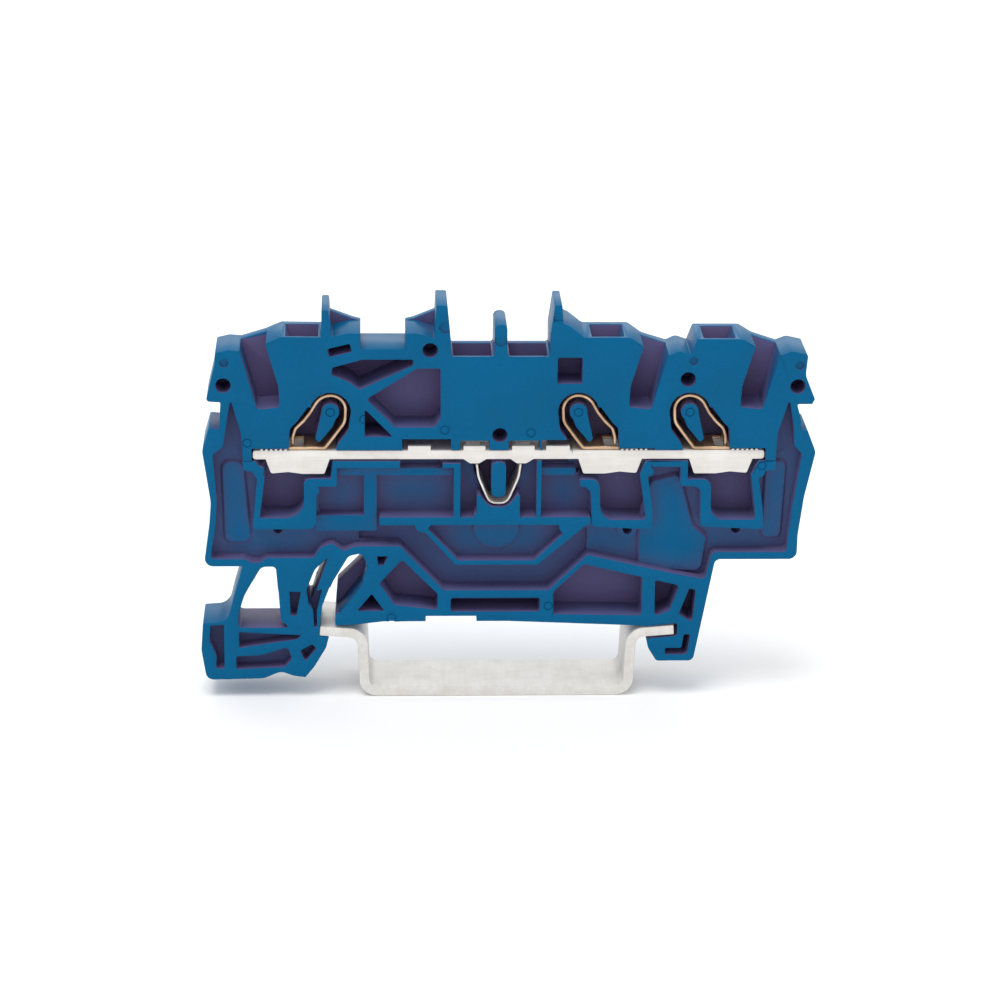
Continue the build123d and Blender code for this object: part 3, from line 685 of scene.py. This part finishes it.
# ---- sub-assemblies -------------------------------------------------------------------------------
@dataclass
class Moulding:
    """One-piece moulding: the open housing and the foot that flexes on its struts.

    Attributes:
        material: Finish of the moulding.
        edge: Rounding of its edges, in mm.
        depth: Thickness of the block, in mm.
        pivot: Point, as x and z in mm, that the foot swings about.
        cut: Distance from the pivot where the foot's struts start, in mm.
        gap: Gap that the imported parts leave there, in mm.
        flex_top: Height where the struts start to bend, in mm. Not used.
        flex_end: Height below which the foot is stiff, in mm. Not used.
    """

    material: bpy.types.Material
    edge: float = 0.055
    depth: float = 5.2
    pivot: tuple[float, float] = (-19.5, 22.0)
    cut: float = 10.95
    gap: float = 0.12
    flex_top: float = 11.05
    flex_end: float = 8.0

    def from_pivot(self, point: Vector) -> float:
        """Distance of a point from the foot's pivot, across the block, in mm."""
        return math.hypot(point.x - self.pivot[0], point.z - self.pivot[1])

    def at_cut(self, point: Vector) -> bool:
        """Says whether a point lies where the struts meet the housing."""
        return abs(self.from_pivot(point) - self.cut + self.gap) < self.gap * 1.3

    def joined(self, point: Vector) -> Vector:
        """Moves the strut's end up to the housing.

        Args:
            point: Point of the foot, in mm.

        Returns:
            The point, on the housing's side of the gap if it was on the cut.
        """
        distance = self.from_pivot(point)
        if abs(distance - self.cut) > self.gap / 4:
            return point
        share = (self.cut - self.gap) / distance
        return Vector((self.pivot[0] + (point.x - self.pivot[0]) * share, point.y,
                       self.pivot[1] + (point.z - self.pivot[1]) * share))

    def build(self) -> list[bpy.types.Object]:
        """Builds the housing and the foot.

        Returns:
            The two pieces.
        """
        mesh = RoundedCopy("housing", self.edge, keep=self.at_cut).mesh()
        paint_recess_shade(mesh, self.depth * MM)
        housing = finished(mesh, "block_housing", self.material)
        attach(housing, Body.TERMINAL.value)
        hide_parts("housing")

        mesh = RoundedCopy("release_foot", self.edge, keep=self.at_cut, move=self.joined).mesh()
        paint_recess_shade(mesh, self.depth * MM)
        foot = finished(mesh, "flexing_foot", self.material)
        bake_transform(foot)
        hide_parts("release_foot")
        return [housing, foot]


@dataclass
class PlainMetal:
    """Stamped or rolled metal piece whose shape the CAD gives: current bar or rail.

    Attributes:
        node: CAD node.
        name: Name of the piece.
        body: Body it rides on.
        slot: Material slot of the record. Not used.
        material: Its finish.
        edge: Rounding of its edges, in mm.
    """

    node: str
    name: str
    body: Body
    slot: str
    material: bpy.types.Material
    edge: float

    def build(self) -> list[bpy.types.Object]:
        """Builds the piece and puts it on its body."""
        piece = finished(RoundedCopy(self.node, self.edge).mesh(), self.name, self.material)
        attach(piece, self.body.value)
        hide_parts(self.node)
        return [piece]


@dataclass
class ClampSpring:
    """Clamp spring: a leg that rests on the bar, a loop round its post and the wire leg.

    Attributes:
        place: Which clamp, as in the CAD node's name.
        hand: Which way its wire leg leans.
        material: Spring steel.
        loop: Radius of the loop's centre line, in mm.
        thickness: Thickness of the strip, in mm.
        width: Width of the loop across the block, in mm.
        tongue: Width of the wire leg, in mm.
        rest_leg: Corners of the resting leg from its tip, from the loop's centre, leaning left.
        wire_leg: Corners of the wire leg, down to its tip.
        bend: Place where the wire leg starts to bend, from the loop's centre, leaning left. Not used.
        bend_run: Step from there to where it bends no more. Not used.
        play: Room between the fork's tines and the wire leg, on each side, in mm.
        fork_edge: Rounding of the fork's edges, in mm.
    """

    place: str
    hand: Hand
    material: bpy.types.Material
    loop: float = 1.57
    thickness: float = 0.3
    width: float = 3.6
    tongue: float = 2.6
    rest_leg: tuple[Corner, ...] = (
        (-2.3, -3.75), (-0.55, -3.75, 0.35), (0.35, -2.55, 1.5), (1.4, -1.1, 1.5))
    wire_leg: tuple[Corner, ...] = (
        (-1.9, -0.25, 1.0), (-2.55, -1.1, 1.0), (-3.4, -1.95, 0.8), (-3.65, -2.8, 0.6),
        (-3.65, -3.7))
    bend: tuple[float, float] = (-0.7, 0.3)
    bend_run: tuple[float, float] = (-0.582, 0.262)
    play: float = 0.15
    fork_edge: float = 0.06

    def centre(self) -> Vector:
        """Centre of the loop in mm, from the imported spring's box."""
        low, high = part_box(f"clamp_spring_{self.place}")
        reach = self.loop + self.thickness / 2
        side = high.x / MM - reach if self.hand is Hand.LEFT else low.x / MM + reach
        return Vector((side, (low.y + high.y) / 2 / MM, high.z / MM - reach))

    def loop_corners(self) -> list[Corner]:
        """Corners of straight runs that touch the loop, rounded to its radius.

        Returns:
            Three corners, from the resting leg's side over the top.
        """
        first, last, count = 6.0, 155.0, 3
        half = math.radians((last - first) / count / 2)
        reach = self.loop / math.cos(half)
        turns = [math.radians(first) + half * (2 * k + 1) for k in range(count)]
        return [(reach * math.cos(t), reach * math.sin(t), self.loop) for t in turns]

    def build(self) -> list[bpy.types.Object]:
        """Bends the spring and makes the fork at the end of its resting leg."""
        centre = self.centre()
        facing = 1 if self.hand is Hand.LEFT else -1
        corners = [(centre.x + facing * c[0], centre.z + c[1], *c[2:])
                   for c in (*self.rest_leg, *self.loop_corners(), *self.wire_leg)]
        strip = BentStrip(f"clamp_{self.place}", corners, self.thickness, self.width,
                          centre.y, tip=self.tongue / self.width, shoulder=0.66)
        spring = strip.piece(self.material)
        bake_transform(spring)
        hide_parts(f"clamp_spring_{self.place}", f"clamp_tongue_{self.place}")
        return [spring, self.window_frame(centre, facing)]

    def window_frame(self, centre: Vector, facing: int) -> bpy.types.Object:
        """Makes the end of the resting leg, a fork that the wire leg dips between.

        Args:
            centre: Centre of the loop, in mm.
            facing: 1 where the wire leg leans left, and -1 where it leans right.

        Returns:
            The finished fork.
        """
        tip, notch, root = -4.0, -2.6, -2.25
        low, high = centre.y - self.width / 2, centre.y + self.width / 2
        slot_low = centre.y - self.tongue / 2 - self.play
        slot_high = centre.y + self.tongue / 2 + self.play
        plan = [(tip, low), (root, low), (root, high), (tip, high),
                (tip, slot_high), (notch, slot_high), (notch, slot_low), (tip, slot_low)]
        under = centre.z + self.rest_leg[0][1] - self.thickness / 2
        work = bmesh.new()
        base = work.faces.new([
            work.verts.new(mm(centre.x + facing * x, y, under)) for x, y in plan])
        lifted = bmesh.ops.extrude_face_region(work, geom=[base])["geom"]
        rise = mm(0.0, 0.0, self.thickness)
        bmesh.ops.translate(work, vec=rise, verts=[
            v for v in lifted if isinstance(v, bmesh.types.BMVert)])
        bmesh.ops.bevel(work, geom=list(work.edges), offset=self.fork_edge * MM, offset_type="OFFSET",
                        segments=2, profile=0.5, affect="EDGES", clamp_overlap=False)
        mesh = bpy.data.meshes.new(f"clamp_{self.place}_frame")
        bmesh.ops.triangulate(work, faces=[f for f in work.faces if len(f.verts) > 4])
        work.to_mesh(mesh)
        work.free()
        outward(mesh)
        fork = finished(mesh, f"clamp_{self.place}_frame", self.material)
        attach(fork, Body.TERMINAL.value)
        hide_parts(f"clamp_spring_{self.place}")
        return fork


@dataclass
class ContactRidges:
    """Round ridges on the current bar in front of a wire window, where the wire is pressed.

    Attributes:
        place: Which clamp, as in the CAD node's name.
        hand: Which way the clamp's wire leg leans.
        material: Finish of the bar.
        first: Distance of the outermost ridge from the loop's far side, in mm.
        step: Distance between ridges, in mm.
        count: Number of ridges.
        radius: Radius of a ridge, in mm.
        length: Length of a ridge across the bar's front rim, in mm.
        top: Height of the bar's top, in mm.
        rim: Y of the ridges' front ends, in mm.
    """

    place: str
    hand: Hand
    material: bpy.types.Material
    first: float = 8.35
    step: float = 0.46
    count: int = 6
    radius: float = 0.14
    length: float = 0.46
    top: float = 25.75
    rim: float = -2.36

    def build(self) -> list[bpy.types.Object]:
        """Sets the ridges in a row, half sunk in the bar's top."""
        low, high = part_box(f"clamp_spring_{self.place}")
        side = (high.x if self.hand is Hand.LEFT else low.x) / MM
        start = mm(side + self.hand.value * self.first, self.rim + self.length / 2, self.top)
        name = f"contact_ridges_{self.place}"
        carrier = bpy.data.objects.new(name, bpy.data.meshes.new(name))
        bpy.context.scene.collection.objects.link(carrier)
        mesh = grown(carrier, ridge_tree(), {
            "Start": start, "Step": mm(-self.hand.value * self.step, 0.0, 0.0),
            "Count": self.count, "Radius": self.radius * MM, "Length": self.length * MM,
            "Material": self.material})
        ridges = finished(mesh, name, self.material)
        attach(ridges, Body.TERMINAL.value)
        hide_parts("current_bar")
        return [ridges]


@dataclass
class JumperContact:
    """Thin U-shaped contact that grips a jumper's tines, made as two halves.

    Attributes:
        material: Contact steel.
        middle: X of the middle of the bend, in mm.
        thickness: Thickness of the strip, in mm.
        width: Width across the block, in mm.
        y: Y of the middle of its width, in mm.
        leg: Corners of the left half, from the middle of the bend up to the tip.
        bend_at: Distance of the flexing stretch from the middle, in mm. Not used.
        bend_low: Height where a leg starts to bend, in mm. Not used.
        bend_high: Height above which it follows its body, in mm. Not used.
    """

    material: bpy.types.Material
    middle: float = -0.05
    thickness: float = 0.22
    width: float = 3.2
    y: float = -0.5
    leg: tuple[Corner, ...] = (
        (0.0, 20.2), (-0.85, 20.2, 0.95), (-1.5, 21.8, 3.0), (-1.95, 22.9, 3.0),
        (-2.12, 24.2))
    bend_at: float = 1.3
    bend_low: float = 20.6
    bend_high: float = 21.3

    def build(self) -> list[bpy.types.Object]:
        """Bends both halves."""
        pieces = []
        for hand in Hand:
            side = hand.name.lower()
            lean = -hand.value
            corners = [(self.middle + lean * c[0], c[1], *c[2:]) for c in self.leg]
            strip = BentStrip(f"jumper_contact_{side}", corners, self.thickness, self.width,
                              self.y)
            half = strip.piece(self.material)
            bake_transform(half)
            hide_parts(f"jumper_leg_{side}", "jumper_spring")
            pieces.append(half)
        return pieces


# ---- studio ---------------------------------------------------------------------------------------
def hung(light: bpy.types.Light, place: Vector, target: Vector) -> bpy.types.Object:
    """Hangs a light so that it looks at the target.

    Args:
        light: Lamp's data.
        place: Where it hangs.
        target: Point that it looks at.

    Returns:
        The lamp.
    """
    lamp = bpy.data.objects.new(light.name, light)
    lamp.location = place
    lamp.rotation_euler = (target - place).to_track_quat("-Z", "Y").to_euler()
    bpy.context.scene.collection.objects.link(lamp)
    return lamp


@dataclass
class Softbox:
    """Large soft lamp that looks at the block.

    Attributes:
        name: Name of the lamp.
        place: Where it hangs, in mm.
        size: Width of its square face, in mm.
        power: Power in watts.
    """

    name: str
    place: tuple[float, float, float]
    size: float
    power: float

    def build(self, target: Vector) -> bpy.types.Object:
        """Hangs the lamp and turns it to the target."""
        light = bpy.data.lights.new(self.name, "AREA")
        light.shape = "SQUARE"
        light.size = self.size * MM
        light.energy = self.power
        return hung(light, mm(*self.place), target)


@dataclass
class Skylight:
    """Even soft light from far away, over the whole floor.

    Attributes:
        name: Name of the lamp.
        place: A point in its direction, in mm.
        spread: Angle that it fills, in degrees.
        strength: Light on a surface that faces it, in watts per square metre.
    """

    name: str
    place: tuple[float, float, float]
    spread: float
    strength: float

    def build(self, target: Vector) -> bpy.types.Object:
        """Hangs the lamp and turns it to the target."""
        light = bpy.data.lights.new(self.name, "SUN")
        light.angle = math.radians(self.spread)
        light.energy = self.strength
        return hung(light, mm(*self.place), target)


@dataclass
class Studio:
    """Floor, light and camera.

    Attributes:
        target: Point that the camera looks at, in mm.
        distance: Distance of the camera from it, in mm.
        azimuth: Turn of the camera to the block's left, in degrees, below zero.
        elevation: Height of the camera above the level, in degrees.
        roll: Tilt of the camera, in degrees.
        lens: Focal length in mm, on a sensor 36 mm wide.
        lamps: Soft lamps round the block.
        glow: Strength of the even light of the room.
        floor_half: Half the width of the floor, in metres.
        floor_drop: How far the floor lies below the rail, in mm.
    """

    target: tuple[float, float, float] = (0.098, -2.6, 20.721)
    distance: float = 311.483
    azimuth: float = -2.608
    elevation: float = 20.39
    roll: float = 0.802
    lens: float = 115.55
    lamps: list[Softbox | Skylight] = field(default_factory=lambda: [
        Skylight("ceiling", (-70.0, -90.0, 400.0), 30.0, 1.3),
        Softbox("rear_lamp", (20.0, 420.0, 210.0), 320.0, 0.35),
    ])

    glow: float = 0.86
    floor_half: float = 4.0
    floor_drop: float = 0.01

    def camera(self) -> None:
        """Sets the camera up."""
        turn, lift, tilt = (math.radians(a) for a in (self.azimuth, self.elevation, self.roll))
        back = Vector((math.sin(turn) * math.cos(lift), -math.cos(turn) * math.cos(lift),
                       math.sin(lift)))
        right = Vector((math.cos(turn), math.sin(turn), 0.0))
        up = back.cross(right)
        across = right * math.cos(tilt) + up * math.sin(tilt)
        above = back.cross(across)
        lens = bpy.data.cameras.new("camera")
        lens.lens = self.lens
        lens.sensor_width = 36.0
        lens.clip_start = 0.01
        lens.clip_end = 20.0
        camera = bpy.data.objects.new("camera", lens)
        facing = Matrix((across, above, back)).transposed().to_4x4()
        camera.matrix_world = Matrix.Translation(
            mm(*self.target) + back * self.distance * MM) @ facing
        bpy.context.scene.collection.objects.link(camera)
        bpy.context.scene.camera = camera

    def floor(self) -> None:
        """Lays the pale floor under the rail."""
        half, below = self.floor_half, -self.floor_drop * MM
        mesh = bpy.data.meshes.new("floor")
        mesh.from_pydata([(-half, -half, below), (half, -half, below), (half, half, below),
                          (-half, half, below)], [], [(0, 1, 2, 3)])
        finished(mesh, "floor", StudioWhite().material())

    def world(self) -> None:
        """Fills the room with even white light."""
        world = bpy.data.worlds.new("room")
        world.use_nodes = True
        graph = Graph(world.node_tree)
        glow = graph.add("ShaderNodeBackground", {"Color": (1.0, 1.0, 1.0, 1.0),
                                                  "Strength": self.glow})
        graph.add("ShaderNodeOutputWorld", {"Surface": glow})
        bpy.context.scene.world = world
        bpy.context.scene.view_settings.view_transform = "Standard"

    def build(self) -> None:
        """Builds the whole studio."""
        self.floor()
        self.world()
        for lamp in self.lamps:
            lamp.build(mm(*self.target))
        self.camera()


def main() -> None:
    """Builds every sub-assembly in order and reports its pieces."""
    spring_steel = SPRING_STEEL.material()
    tinned_copper = TINNED_COPPER.material()
    parts = [
        PlainMetal("rail_section", "top_hat_rail", Body.RAIL, "rail_steel",
                   ZINCED_STEEL.material(), 0.12),
        Moulding(MouldedPolyamide().material()),
        PlainMetal("current_bar", "tinned_current_bar", Body.TERMINAL, "tinned_copper",
                   tinned_copper, 0.06),
    ]
    for place, hand in (("left", Hand.LEFT), ("middle", Hand.RIGHT), ("right", Hand.RIGHT)):
        parts += [ClampSpring(place, hand, spring_steel),
                  ContactRidges(place, hand, tinned_copper)]
    parts += [
        JumperContact(JUMPER_STEEL.material()),
    ]
    for part in parts:
        for piece in part.build():
            log.info("%s: %d faces", piece.name, len(piece.data.polygons))
    Studio().build()


if __name__ == "__main__":
    main()
